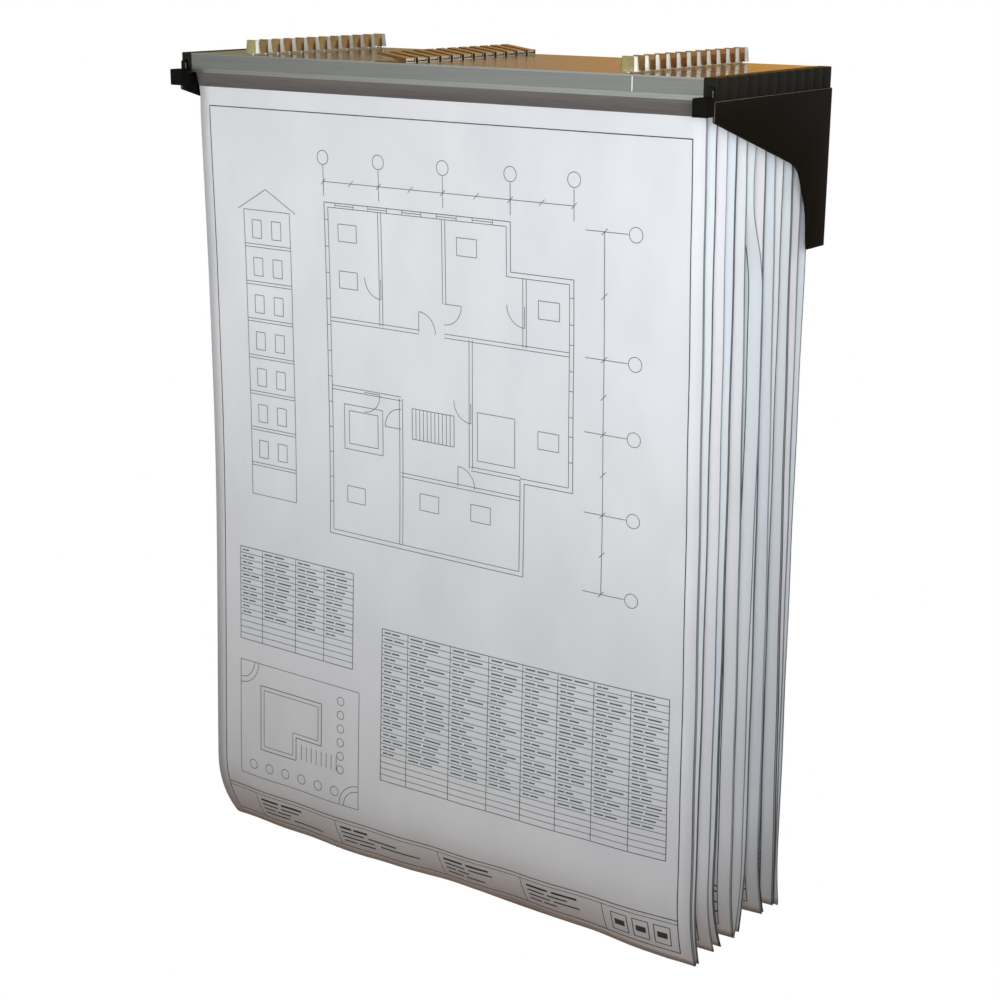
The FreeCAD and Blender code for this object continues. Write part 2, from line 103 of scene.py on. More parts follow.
def noise_of(nodes, links, place, scale, stretch=(1, 1, 1), detail=3.0):
    """Noise on object coordinates, drawn out along the axes where stretch is small."""
    mapping = nodes.new("ShaderNodeMapping")
    mapping.inputs["Scale"].default_value = stretch
    links.new(place, mapping.inputs["Vector"])
    noise = nodes.new("ShaderNodeTexNoise")
    noise.inputs["Scale"].default_value = scale
    noise.inputs["Detail"].default_value = detail
    links.new(mapping.outputs["Vector"], noise.inputs["Vector"])
    return noise.outputs["Fac"]


def vary_colour(nodes, links, fac, dark, light, socket):
    """Runs a socket between two colours with the noise."""
    ramp = nodes.new("ShaderNodeValToRGB")
    for stop, position, colour in zip(ramp.color_ramp.elements, RAMP_ENDS, (dark, light)):
        stop.position = position
        stop.color = (*colour, 1)
    links.new(fac, ramp.inputs["Fac"])
    links.new(ramp.outputs["Color"], socket)


def vary_value(nodes, links, fac, limits, socket):
    """Runs a socket between two values with the noise."""
    scaled = nodes.new("ShaderNodeMapRange")
    scaled.inputs["To Min"].default_value, scaled.inputs["To Max"].default_value = limits
    links.new(fac, scaled.inputs["Value"])
    links.new(scaled.outputs["Result"], socket)


def roughen(nodes, links, fac, height, shader):
    """Small relief from the noise."""
    bump = nodes.new("ShaderNodeBump")
    bump.inputs["Strength"].default_value = RELIEF_STRENGTH
    bump.inputs["Distance"].default_value = height
    links.new(fac, bump.inputs["Height"])
    links.new(bump.outputs["Normal"], shader.inputs["Normal"])


def surface(name, dark, light, metallic, rough, scale, stretch=(1, 1, 1), relief=0.02 * MM, shine=0.5):
    """One finish: two close tones, a range of roughness and a fine relief, all from one noise."""
    material, nodes, links, shader, place = new_material(name)
    fac = noise_of(nodes, links, place, scale, stretch)
    vary_colour(nodes, links, fac, dark, light, shader.inputs["Base Color"])
    vary_value(nodes, links, fac, rough, shader.inputs["Roughness"])
    shader.inputs["Metallic"].default_value = metallic
    shader.inputs["Specular IOR Level"].default_value = shine
    roughen(nodes, links, fac, relief, shader)
    return material


DRAWN_ALONG_X = (0.02, 1, 1)
BAR_METAL = surface("satin_aluminium", (0.42, 0.44, 0.42), (0.52, 0.54, 0.52),
                    metallic=0.85, rough=(0.26, 0.36), scale=900, stretch=DRAWN_ALONG_X)
# The bar's top: the same aluminium, smoother, and painted lighter as a highlight.
TOP_LIT_METAL = surface("aluminium_top_painted_highlight", (0.68, 0.66, 0.62), (0.80, 0.78, 0.74),
                    metallic=1.0, rough=(0.10, 0.18), scale=900, stretch=DRAWN_ALONG_X)
# The jaws: aluminium painted darker, a painted shade for their recess under the bar.
JAW_SHADED_METAL = surface("jaw_metal_painted_shade", (0.23, 0.215, 0.21), (0.30, 0.28, 0.275),
                    metallic=0.6, rough=(0.38, 0.5), scale=800, stretch=DRAWN_ALONG_X)
LABEL_CARD = surface("label_card", (0.24, 0.25, 0.24), (0.28, 0.29, 0.28),
                     metallic=0.4, rough=(0.3, 0.4), scale=500, stretch=DRAWN_ALONG_X)
JOINT_CARD = surface("joint_card", (0.84, 0.84, 0.82), (0.90, 0.90, 0.88),
                     metallic=0.0, rough=(0.5, 0.6), scale=500)
CAP_PLASTIC = surface("cap_plastic", (0.009, 0.009, 0.007), (0.015, 0.015, 0.011),
                      metallic=0.0, rough=(0.34, 0.46), scale=2500, shine=0.2)
ARM_PAINT = surface("arm_paint", (0.006, 0.005, 0.003), (0.010, 0.008, 0.006),
                    metallic=0.0, rough=(0.36, 0.46), scale=1800, relief=0.04 * MM, shine=0.2)
# A painted glint: lighter paint on the arms' bevelled right edges, where they would catch the light.
ARM_EDGE_GLINT = surface("arm_painted_glint", (0.09, 0.08, 0.065), (0.24, 0.22, 0.19),
                    metallic=0.0, rough=(0.3, 0.4), scale=900)
BLOCK_RUBBER = surface("block_rubber", (0.004, 0.004, 0.0035), (0.010, 0.010, 0.009),
                       metallic=0.0, rough=(0.6, 0.75), scale=2200, relief=0.05 * MM, shine=0.1)
# The tones vary at random and are partly painted reflection: bright for the front clamp, browner behind, for
# the shaded knob ahead seen in each knob's front.
KNOB_TONES = (
    ((0.64, 0.76, 0.58), (0.80, 0.93, 0.72)), ((0.46, 0.38, 0.29), (0.60, 0.49, 0.38)),
    ((0.52, 0.38, 0.27), (0.66, 0.47, 0.34)), ((0.52, 0.46, 0.34), (0.68, 0.60, 0.45)),
)
KNOB_METALS = [surface(f"knob_plate_{i + 1}", *tone, metallic=1.0, rough=(0.12, 0.22), scale=260)
               for i, tone in enumerate(KNOB_TONES)]
# Which of these tones each clamp's knobs have, from the front clamp to the rear one: the bright first tone only
# at the front, where no knob stands ahead.
KNOB_ORDER = (0, 1, 3, 2, 1, 2, 3, 1, 2, 1, 2, 3)
# Painted light on the knobs' sides to the right, which face the lamps.
KNOB_LIT_SIDE = surface("knob_plate_painted_light_side", (0.93, 0.93, 0.84), (0.98, 0.98, 0.90),
                    metallic=0.0, rough=(0.36, 0.48), scale=260)
HANDLE_METAL = surface("handle_plate", (0.76, 0.53, 0.22), (0.90, 0.66, 0.30),
                       metallic=1.0, rough=(0.2, 0.32), scale=500, stretch=DRAWN_ALONG_X)
# Painted light on the handles' ends and painted shade on their long sides.
HANDLE_LIT_END = surface("handle_plate_painted_light_end", (0.90, 0.80, 0.64), (0.97, 0.88, 0.73),
                     metallic=0.0, rough=(0.36, 0.48), scale=500)
HANDLE_SHADED_SIDE = surface("handle_plate_painted_shade_side", (0.13, 0.07, 0.02), (0.22, 0.125, 0.04),
                      metallic=0.5, rough=(0.4, 0.5), scale=500)
CHROME = surface("screw_chrome", (0.75, 0.75, 0.75), (0.85, 0.85, 0.85),
                 metallic=1.0, rough=(0.06, 0.12), scale=400)
INK = surface("plan_ink", (0.035, 0.04, 0.04), (0.07, 0.075, 0.075),
              metallic=0.0, rough=(0.7, 0.85), scale=700, relief=0.0)
FINE_INK = surface("fine_plan_ink", (0.08, 0.11, 0.105), (0.14, 0.17, 0.16),
                   metallic=0.0, rough=(0.7, 0.85), scale=700, relief=0.0)

# Each noise on the paper has a scale, a stretch and a detail.
MOTTLING = (14, (1, 1, 0.5), 5)
EDGE_PATCHES = (4.5, (1, 3, 1), 2)
FIBRE_SCALE, FIBRE_RELIEF = 1400, 0.03 * MM
PAPER_ROUGHNESS, PAPER_SHINE = 0.72, 0.2
# Painted shade: a dark line at a sheet's right edge for the shadowed gaps between the sets, and a darkening
# towards its foot, where less light reaches.
EDGE_SHADE, FULL_EDGE = (0.022, 0.026, 0.028), 0.6
FOOT_SHADE, FOOT_FROM = (0.30, 0.25, 0.22), 0.86


def near(nodes, links, value, start, end, most=1.0):
    """Rises from 0 to a share as a value goes from start to end."""
    rise = nodes.new("ShaderNodeMapRange")
    rise.inputs["From Min"].default_value = start
    rise.inputs["From Max"].default_value = end
    rise.inputs["To Max"].default_value = most
    links.new(value, rise.inputs["Value"])
    return rise.outputs["Result"]


def shaded(nodes, links, shade, factor):
    """The way in and the way out of a mix that moves a colour towards a shade."""
    mix = nodes.new("ShaderNodeMix")
    mix.data_type = "RGBA"
    mix.inputs["B"].default_value = (*shade, 1)
    links.new(factor, mix.inputs["Factor"])
    return mix.inputs["A"], mix.outputs["Result"]


def paper(name, dark, light, edge_width, edge_strength, foot):
    """Plotter paper: faint mottling and fibres, painted shade towards its foot, and a line of painted shade at
    its right edge for the shadowed gap between the sets.
    """
    material, nodes, links, shader, place = new_material(name)
    page = nodes.new("ShaderNodeSeparateXYZ")
    links.new(nodes.new("ShaderNodeTexCoord").outputs["UV"], page.inputs[0])
    near_foot = near(nodes, links, page.outputs["Y"], FOOT_FROM, 1.0, foot)
    near_edge = near(nodes, links, page.outputs["X"], 1 - edge_width / SHEET_WIDTH,
                     1 - FULL_EDGE * edge_width / SHEET_WIDTH)
    strength = nodes.new("ShaderNodeMath")
    strength.operation = "MULTIPLY"
    links.new(near_edge, strength.inputs[0])
    vary_value(nodes, links, noise_of(nodes, links, place, *EDGE_PATCHES), edge_strength, strength.inputs[1])
    bare, footed = shaded(nodes, links, FOOT_SHADE, near_foot)
    edgeless, edged = shaded(nodes, links, EDGE_SHADE, strength.outputs[0])
    vary_colour(nodes, links, noise_of(nodes, links, place, *MOTTLING), dark, light, bare)
    links.new(footed, edgeless)
    links.new(edged, shader.inputs["Base Color"])
    shader.inputs["Roughness"].default_value = PAPER_ROUGHNESS
    shader.inputs["Specular IOR Level"].default_value = PAPER_SHINE
    roughen(nodes, links, noise_of(nodes, links, place, FIBRE_SCALE), FIBRE_RELIEF, shader)
    return material


# The further sheets' tints differ at random, and are also a little lighter than the front paper, painted light
# for the narrow strips of them that show between the sets.
TINTS = (
    ((0.86, 0.865, 0.885), (0.90, 0.905, 0.925)), ((0.82, 0.855, 0.885), (0.86, 0.895, 0.925)),
    ((0.87, 0.86, 0.885), (0.91, 0.90, 0.925)), ((0.80, 0.84, 0.89), (0.85, 0.89, 0.935)),
)
FRONT_PAPER = paper("front_plan_paper", (0.775, 0.782, 0.805), (0.835, 0.842, 0.86),
                    edge_width=1.3, edge_strength=(0.55, 1.0), foot=0.12)
PAPERS = [paper(f"plan_paper_{i + 1}", *tint, edge_width=0.9, edge_strength=(0.4, 1.0), foot=0.45)
          for i, tint in enumerate(TINTS)]
DEEP_PAPERS = [paper(f"deep_plan_paper_{i + 1}", *tint, edge_width=1.3, edge_strength=(0.9, 1.0), foot=0.45)
               for i, tint in enumerate(TINTS)]

# ---------------------------------------------------------------- hard pieces

FINE_BEVEL = 0.18 * MM
PLATE_BEVEL = 0.7 * MM
FACE_TOLERANCE = 0.002 * MM
FLAT_ENOUGH = math.radians(1.0)
SHARP = math.radians(32)
SHADED_SHARP = math.radians(24)


def loose_parts(work):
    """The faces of each separate solid."""
    left, parts = dict.fromkeys(work.faces), []
    while left:
        wave, part = [left.popitem()[0]], []
        while wave:
            face = wave.pop()
            part.append(face)
            for edge in face.edges:
                for other in edge.link_faces:
                    if other in left:
                        del left[other]
                        wave.append(other)
        parts.append(part)
    return parts


def soften(work, bevel):
    """Merges the flat faces of the solids and rounds their sharp edges."""
    bmesh.ops.remove_doubles(work, verts=work.verts, dist=FACE_TOLERANCE)
    bmesh.ops.dissolve_limit(work, angle_limit=FLAT_ENOUGH, verts=work.verts, edges=work.edges)
    sharp = [edge for edge in work.edges if edge.is_manifold and edge.calc_face_angle(0) > SHARP]
    bmesh.ops.bevel(work, geom=sharp, offset=bevel, segments=2, profile=0.5, affect="EDGES",
                    clamp_overlap=bevel < PLATE_BEVEL, material=-1)
    bmesh.ops.recalc_face_normals(work, faces=work.faces)


def paint_faces(work, paint):
    """Gives each face of each solid its material. Returns the materials in the order of the faces' indices."""
    materials = []
    for part in loose_parts(work):
        for face, material in paint(part):
            if material not in materials:
                materials.append(material)
            face.material_index = materials.index(material)
            face.smooth = True
    return materials


def finished(node, name, bevel, paint, body):
    """A CAD node's solids with merged faces, softened edges and their finishes."""
    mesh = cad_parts[node].data.copy()
    mesh.materials.clear()
    piece = bpy.data.objects.new(name, mesh)
    scene.collection.objects.link(piece)
    work = bmesh.new()
    work.from_mesh(mesh)
    soften(work, bevel)
    materials = paint_faces(work, paint)
    work.to_mesh(mesh)
    work.free()
    for material in materials:
        mesh.materials.append(material)
    mesh.set_sharp_from_angle(angle=SHADED_SHARP)
    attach(piece, body)
    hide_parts(node)


# A face takes the finish, or the painted light or shade, of a side when its normal turns that far towards it.
TOP_TURN = 0.9
KNOB_SIDE_TURN = 0.7
HANDLE_SIDE_TURN = 0.75
BEVEL_TURN, BEVEL_MOST = 0.3, 0.95
GLINT_AREA = 2 * MM * MM


def all_of(material):
    """Paints a whole part with one material."""
    return lambda part: [(face, material) for face in part]


def bar_paint(part):
    """The bar's top is smooth and has a painted highlight, a lighter copy of the aluminium of its other, satin
    faces.
    """
    return [(face, TOP_LIT_METAL if face.normal.z > TOP_TURN else BAR_METAL) for face in part]


def arm_paint(part):
    """The arms are black, with a painted glint, a lighter line along their right top and front edges where the
    bevels catch the light.
    """
    def glint_face(face):
        top = face.normal.z > BEVEL_TURN
        front = face.normal.y < -BEVEL_TURN and face.calc_center_median().y < FIRST_FACE
        bevel = BEVEL_TURN < face.normal.x < BEVEL_MOST
        return bevel and (top or front) and face.calc_area() > GLINT_AREA
    return [(face, ARM_EDGE_GLINT if glint_face(face) else ARM_PAINT) for face in part]


def knob_paint(clamp):
    """A knob's plating has one of a few warm tones, which also paint the reflection of shade from the knob
    ahead. Its side to the right is painted light, a matte highlight where the lamps fall.
    """
    metal = KNOB_METALS[KNOB_ORDER[clamp]]
    return lambda part: [(face, KNOB_LIT_SIDE if face.normal.x > KNOB_SIDE_TURN else metal) for face in part]


def handle_paint(part):
    """A handle's cut end is painted light, as a highlight, and its long sides are painted dark, as the shade in
    the gaps between the handles.
    """
    def tone(face):
        if face.normal.x > HANDLE_SIDE_TURN:
            return HANDLE_LIT_END
        return HANDLE_SHADED_SIDE if abs(face.normal.y) > HANDLE_SIDE_TURN else HANDLE_METAL
    return [(face, tone(face)) for face in part]


# What tells the solids of a clamp's frame apart.
HANDLE_REACH = 0.1 * MM
CAP_WIDEST = 40 * MM
LABEL_TALLEST, LABEL_DROP = 15 * MM, 1 * MM
JAW_DROP = 5 * MM


def span(part, axis):
    """The least and the greatest place of a part's corners along an axis."""
    values = [vert.co[axis] for face in part for vert in face.verts]
    return min(values), max(values)


def frame_paint(part):
    """Tells the solids of a clamp's frame apart by their size and place."""
    (left, right), (low, high) = span(part, 0), span(part, 2)
    if low >= CLAMP_TOP - HANDLE_REACH:
        return handle_paint(part)
    if right - left < CAP_WIDEST:
        return all_of(CAP_PLASTIC)(part)
    if high - low < LABEL_TALLEST and high < CLAMP_TOP - LABEL_DROP:
        return all_of(LABEL_CARD)(part)
    if high < CLAMP_TOP - JAW_DROP:
        return all_of(JAW_SHADED_METAL)(part)
    return bar_paint(part)


def thumb_paint(clamp):
    """The screw is bright and the knob warm."""
    return lambda part: (all_of(CHROME) if span(part, 2)[0] < CLAMP_TOP else knob_paint(clamp))(part)


LABEL_LIP = 0.5 * MM


def label_joint():
    """The light card that shows in the open joint of the label strips."""
    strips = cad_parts["clamp_01_label_strips"]
    ends = sorted({round(vert.co.x, 5) for vert in strips.data.vertices})
    (_, front, low), (_, rear, high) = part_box("clamp_01_label_strips")
    work = bmesh.new()
    bmesh.ops.create_cube(work, size=1)
    for vert in work.verts:
        vert.co.x = ends[1] if vert.co.x < 0 else ends[2]
        vert.co.y = front if vert.co.y < 0 else rear
        vert.co.z = low + LABEL_LIP if vert.co.z < 0 else high - LABEL_LIP
    card = placed("label_joint", work, JOINT_CARD)
    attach(card, "clamp_01")


def hard_pieces():
    """Every hard piece of the rack, from its CAD node."""
    finished("arm_right", "arm_right_steel", PLATE_BEVEL, arm_paint, "wall_arms")
    finished("arm_left", "arm_left_steel", PLATE_BEVEL, arm_paint, "wall_arms")
    finished("front_blocks", "front_bumpers", PLATE_BEVEL, all_of(BLOCK_RUBBER), "wall_arms")
    first = "clamp_01"
    for tail, paint, body, slot_name in (
        ("bar", bar_paint, first, "clamp_aluminium"),
        ("jaw", all_of(JAW_SHADED_METAL), first + "_jaw", "jaw_aluminium"),
        ("label_strips", all_of(LABEL_CARD), first, "label_card"),
        ("cap_left", all_of(CAP_PLASTIC), first, "black_plastic"),
        ("cap_right", all_of(CAP_PLASTIC), first, "black_plastic"),
        ("handle_base", handle_paint, first, "handle_metal"),
        ("handle", handle_paint, first + "_handle", "handle_metal"),
        ("knob_left", knob_paint(0), first + "_thumb_left", "knob_metal"),
        ("screw_left", all_of(CHROME), first + "_thumb_left", "screw_chrome"),
        ("knob_right", knob_paint(0), first + "_thumb_right", "knob_metal"),
        ("screw_right", all_of(CHROME), first + "_thumb_right", "screw_chrome"),
    ):
        finished(f"{first}_{tail}", f"{first}_{tail}_made", FINE_BEVEL, paint, body)
    label_joint()
    for clamp in range(1, CLAMPS):
        name = clamp_name(clamp)
        finished(name + "_frame", name + "_frame_made", FINE_BEVEL, frame_paint, name)
        for side in ("left", "right"):
            finished(f"{name}_knob_{side}", f"{name}_knob_{side}_made", FINE_BEVEL, thumb_paint(clamp),
                     f"{name}_thumb_{side}")


# ---------------------------------------------------------------- sheets

LAYERS = 4
SHEET_THICKNESS = 0.15
ACROSS_CELLS, DOWN_CELLS = 40, 112

# The grip: how far it lies below the clamp's top, its height, its slope, and its depth behind the front face.
TOP_DROP = 28.0
GRIP_DEPTH = 14.5
GRIP_SLOPE = 4.0 / 13.0
GRIP_FOOT = 12.4
GRIP_STEP = 0.3
GRIP_BEND = 8

# The left edges: a rise and a fall of the first set over two stretches of t, and one wave in the others.
FIRST_RISE, RISE_OVER = 3.2, (0, 0.25)
FIRST_FALL, FALL_OVER = 24.0, (0.38, 1.1)
OTHER_WAVE, OTHER_LEAN, WAVE_PERIOD = 3.0, 3.0, 1.25

# For each set: how far its right edge stands back at the foot, how far it bows at half height, and its curl.
FOOT_LEANS = (32, 19, 27, 18, 42, 48, 36, 47, 29, 48, 29, 10)
BELLIES = (0, 3, 2, 3, 0, 0, 0, 1, -5, -8, -3, -4)
RIGHT_CURLS = (16, 15, 21, 24, 11, -13.5, -12, 16, 16, 2, 2, 2)
LEAN_BEND = 0.6
EDGE_RIPPLE, EDGE_RIPPLES, RIPPLE_FULL = 0.6, 5, 0.1

# One set has slumped: below a narrow neck its right edge bulges out and falls back slowly.
SLUMPED = 5
SLUMP, SLUMP_OUT, SLUMP_BACK = 18.0, (0.1, 0.2), (0.2, 0.75)
NECK, NECK_IN, NECK_BACK = 6, (0, 0.08), (0.1, 0.16)

# The curl back at the foot, which grows less in the crowded rear sets.
CURL_FROM = 0.9
FIRST_LEFT_CURL, OTHER_LEFT_CURL = 38.0, 20.0
CROWDED_FROM, CROWDED_LOSS = 7, 0.85

# The first set's foot is raised and curls further, right of its middle, and ripples.
RAISED_FROM, RAISED_WIDTH = 0.33, 0.62
FOOT_RISE, FOOT_DEPTH = 4.2, 12.0
FOOT_RIPPLE, FOOT_RIPPLES, FOOT_OVER = 0.8, 6.5, (0.75, 1)

# The right edges hang lower towards the rear, and the last set is skewed with its tip turned out.
RIGHT_DROP, RIGHT_DROP_STEP = 9, 0.6
LAST_SKEW, LAST_TIP, TIP_OVER = 1.2, 5.0, (0.9, 1.05)

# How the sheets of a set spread, wave and keep clear of the next set or of the wall.
LEFT_LOOSE, RIGHT_MORE = 0.35, 0.65
SPREAD_LEAST, SPREAD_MORE = 0.15, 1.6
LAYER_WAVE, LAYER_WAVES = 0.7, 1.4
LEAST_ROOM = 0.9
WALL_ROOM = 277.5

# The share of its depth that a set keeps when its clamp is lifted clear of the sets beside it. Here the sets
# below 1 only get meshes of their own.
LIFTED_KEEP = (0.58, 1, 0.85, 1, 0.91, 0.88, 1, 0.76, 1, 0.92, 0.97, 1)
# Sets whose right edges get a wider, darker line of painted shade, because the next set stands well behind them
# and the gap between is deep in shade.
DEEP_EDGES = (1, 3, 6, 8, 9)

# For each set, or each of its sheets: the spread, the place of its waves, its shift sideways and its drop.
SHAPE_SEED = 11
SIDE_SHIFT, SHEET_DROP = (-0.5, 0.5), (0.4, 1.1)
shapes = random.Random(SHAPE_SEED)
GAPS = [[shapes.random() ** 2 for layer in range(LAYERS)] for clamp in range(CLAMPS)]
PHASES = [shapes.random() * math.tau for clamp in range(CLAMPS)]
OFFSETS = [[shapes.uniform(*SIDE_SHIFT) for layer in range(LAYERS)] for clamp in range(CLAMPS)]
HANGS = [[0.0] + [shapes.uniform(*SHEET_DROP) * layer for layer in range(1, LAYERS)]
         for clamp in range(CLAMPS)]


def ease(value, start, end):
    """Rises smoothly from 0 at start to 1 at end."""
    value = min(max((value - start) / (end - start), 0.0), 1.0)
    return value * value * (3 - 2 * value)


def swell(value, rise, fall):
    """Rises to 1 over one stretch and falls back to 0 over another."""
    return ease(value, *rise) - ease(value, *fall)


def crowding(clamp):
    """0 for a free set of sheets, up to 1 for the last, which the wall holds in."""
    return max(0, clamp - CROWDED_FROM) / (CLAMPS - 1 - CROWDED_FROM)


def right_edge(clamp, t):
    """How far the right edge of a set's front sheet stands back from its grip."""
    depth = FOOT_LEANS[clamp] * (LEAN_BEND * math.sin(math.pi * t / 2) + (1 - LEAN_BEND) * t)
    depth += BELLIES[clamp] * math.sin(math.pi * t)
    if clamp == SLUMPED:
        depth += SLUMP * swell(t, SLUMP_OUT, SLUMP_BACK) - NECK * swell(t, NECK_IN, NECK_BACK)
    ripple = math.sin(math.tau * EDGE_RIPPLES * t + PHASES[clamp])
    return depth + EDGE_RIPPLE * ease(t, 0, RIPPLE_FULL) * ripple


def left_edge(clamp, t):
    """How far the left edge of a set's front sheet stands back from its grip."""
    if clamp == 0:
        return FIRST_RISE * ease(t, *RISE_OVER) - FIRST_FALL * ease(t, *FALL_OVER)
    return (OTHER_WAVE * math.sin(math.tau * t / WAVE_PERIOD) - OTHER_LEAN * t) * (1 - crowding(clamp))


def raised(u):
    """Where the first set's foot is raised: 0 to 1 across the sheet."""
    return max(0.0, math.sin(math.pi * (u - RAISED_FROM) / RAISED_WIDTH)) if u > RAISED_FROM else 0.0


def foot_curl(clamp, u):
    """How far the foot of a set's front sheet curls back."""
    left = FIRST_LEFT_CURL if clamp == 0 else OTHER_LEFT_CURL * (1 - CROWDED_LOSS * crowding(clamp))
    further = FOOT_DEPTH * raised(u) if clamp == 0 else 0
    return left * (1 - u * u) + RIGHT_CURLS[clamp] * u * u + further


def front_sheet(clamp, u, t):
    """Depth of a free point of a set's front sheet behind its own clamp's front face, in millimetres."""
    share = u ** 3
    depth = GRIP_FOOT + left_edge(clamp, t) * (1 - share) + right_edge(clamp, t) * share
    return depth + foot_curl(clamp, u) * max(0.0, (t - CURL_FROM) / (1 - CURL_FROM)) ** 2


def hang(clamp, layer, u, t):
    """Depth of a free point of any sheet of a set. The sheets keep clear of the next set, or of the wall."""
    front = front_sheet(clamp, u, t)
    loose = t * (LEFT_LOOSE + RIGHT_MORE * u * u)
    steps = [GRIP_STEP + (SPREAD_LEAST + SPREAD_MORE * gap) * loose for gap in GAPS[clamp]]
    if clamp < CLAMPS - 1:
        room = PITCH / MM + front_sheet(clamp + 1, u, t) - front
    else:
        room = WALL_ROOM - clamp * PITCH / MM - front
    return front + sum(steps[:layer]) * min(1.0, max(room, LEAST_ROOM) / sum(steps))


def sheet_point(clamp, layer, across, down):
    """Where a point of a sheet is: across and down are millimetres from its top left corner."""
    u = across / SHEET_WIDTH
    x = across - SHEET_WIDTH / 2 + OFFSETS[clamp][layer]
    share = max(0.0, down - GRIP_DEPTH) / (SHEET_LENGTH - GRIP_DEPTH)
    wave = LAYER_WAVE * layer * share * math.sin(math.tau * LAYER_WAVES * u + PHASES[clamp] + layer)
    level = down + HANGS[clamp][layer] + wave
    z = -TOP_DROP - level
    if level < GRIP_DEPTH:
        y = GRIP_FOOT + GRIP_STEP * layer - GRIP_SLOPE * (GRIP_DEPTH - level)
    else:
        free = level - GRIP_DEPTH
        t = free / (SHEET_LENGTH - GRIP_DEPTH)
        y = hang(clamp, layer, u, t) + GRIP_SLOPE * free * math.exp(-free / GRIP_BEND)
        z -= (RIGHT_DROP + RIGHT_DROP_STEP * clamp) * u * u * t
        if clamp == 0:
            ripple = FOOT_RIPPLE * math.sin(math.tau * FOOT_RIPPLES * u)
            z += ease(t, *FOOT_OVER) * (FOOT_RISE * raised(u) + ripple)
        if clamp == CLAMPS - 1:
            x += LAST_SKEW * t + LAST_TIP * ease(t, *TIP_OVER) ** 2
    return Vector((x * MM, FIRST_FACE + clamp * PITCH + y * MM, CLAMP_TOP + z * MM))


def grid_piece(name, columns, rows, place, material):
    """A grid of cells whose corners are set by place(across share, down share)."""
    work = bmesh.new()
    bmesh.ops.create_grid(work, x_segments=columns, y_segments=rows, size=0.5)
    page = work.loops.layers.uv.new("page")
    for face in work.faces:
        face.smooth = True
        for loop in face.loops:
            loop[page].uv = (loop.vert.co.x + 0.5, 0.5 - loop.vert.co.y)
    for vert in work.verts:
        vert.co = place(vert.co.x + 0.5, 0.5 - vert.co.y)
    return placed(name, work, material)


def stock_of(clamp, layer):
    """The paper of a sheet."""
    if clamp == 0 and layer == 0:
        return FRONT_PAPER
    deep = clamp in DEEP_EDGES and layer in (0, LAYERS - 1)
    return (DEEP_PAPERS if deep else PAPERS)[(clamp + (layer > 1)) % len(PAPERS)]


def hung_sheet(clamp, layer):
    """One sheet of a clamp's set. Its first row of cells lies in the grip."""
    name = clamp_name(clamp)
    grip_row = 1 / DOWN_CELLS

    def place(across, down):
        if down <= grip_row:
            depth = GRIP_DEPTH * down / grip_row
        else:
            depth = GRIP_DEPTH + (SHEET_LENGTH - GRIP_DEPTH) * (down - grip_row) / (1 - grip_row)
        return sheet_point(clamp, layer, across * SHEET_WIDTH, depth)

    piece = grid_piece(f"{name}_sheet_{layer + 1}", ACROSS_CELLS, DOWN_CELLS, place, stock_of(clamp, layer))
    thick = piece.modifiers.new("thickness", "SOLIDIFY")
    thick.thickness = SHEET_THICKNESS * MM
    thick.offset = 0
    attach(piece, name)
    if layer == 0:
        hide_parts(name + "_sheets")
    return piece


# ---------------------------------------------------------------- the generic plan on the front sheet

LINE_LIFT = 0.3
LINE_STEP = 14.0
THIN, BOLD = 0.9, 1.3
SHORTEST = 0.01


class Drawing:
    """Lines on a set's front sheet, as thin strips that follow it. Page points are across and down."""

    def __init__(self, name, material, clamp=0):
        self.name, self.material, self.clamp, self.work = name, material, clamp, bmesh.new()

    def line(self, start, end, width=THIN):
        """A straight line between two page points."""
        along = Vector((end[0] - start[0], end[1] - start[1]))
        if along.length < SHORTEST:
            return
        side = Vector((-along.y, along.x)).normalized() * width / 2
        cells = max(1, round(along.length / LINE_STEP))
        made = bmesh.ops.create_grid(self.work, x_segments=cells, y_segments=1, size=0.5)
        for vert in made["verts"]:
            page = Vector(start) + along * (vert.co.x + 0.5) + side * (vert.co.y * 2)
            point = sheet_point(self.clamp, 0, page.x, page.y)
            vert.co = point - Vector((0, LINE_LIFT * MM, 0))

    def path(self, points, width=THIN, closed=False):
        """Straight lines from point to point."""
        for start, end in zip(points, points[1:] + points[:1] * closed):
            self.line(start, end, width)

    def box(self, left, top, right, low, width=THIN):
        """The four sides of an upright box."""
        self.path([(left, top), (right, top), (right, low), (left, low)], width, True)

    def arc(self, centre, radius, start=0, end=360, steps=10):
        """A thin arc between two angles in degrees."""
        turn = [math.radians(start + (end - start) * i / steps) for i in range(steps + 1)]
        self.path([(centre[0] + radius * math.cos(a), centre[1] + radius * math.sin(a)) for a in turn])

    def piece(self):
        """The finished print, on its clamp's body."""
        made = placed(self.name, self.work, self.material)
        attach(made, clamp_name(self.clamp))
        return made


BORDER = (17.0, 39.0, 745.0, 1052.0)
TITLE_TOP = 1002.0
TITLE_GAP = 6
TITLE_DIVISIONS = (66, 214, 390, 520, 640)


def draw_border(bold):
    """The sheet's border and the cells of its title strip."""
    left, top, right, low = BORDER
    bold.box(left, top, right, low, BOLD)
    bold.line((left, TITLE_TOP), (right, TITLE_TOP), BOLD)
    bold.line((left, TITLE_TOP + TITLE_GAP), (right, TITLE_TOP + TITLE_GAP))
    for across in TITLE_DIVISIONS:
        bold.line((across, TITLE_TOP + TITLE_GAP), (across, low))


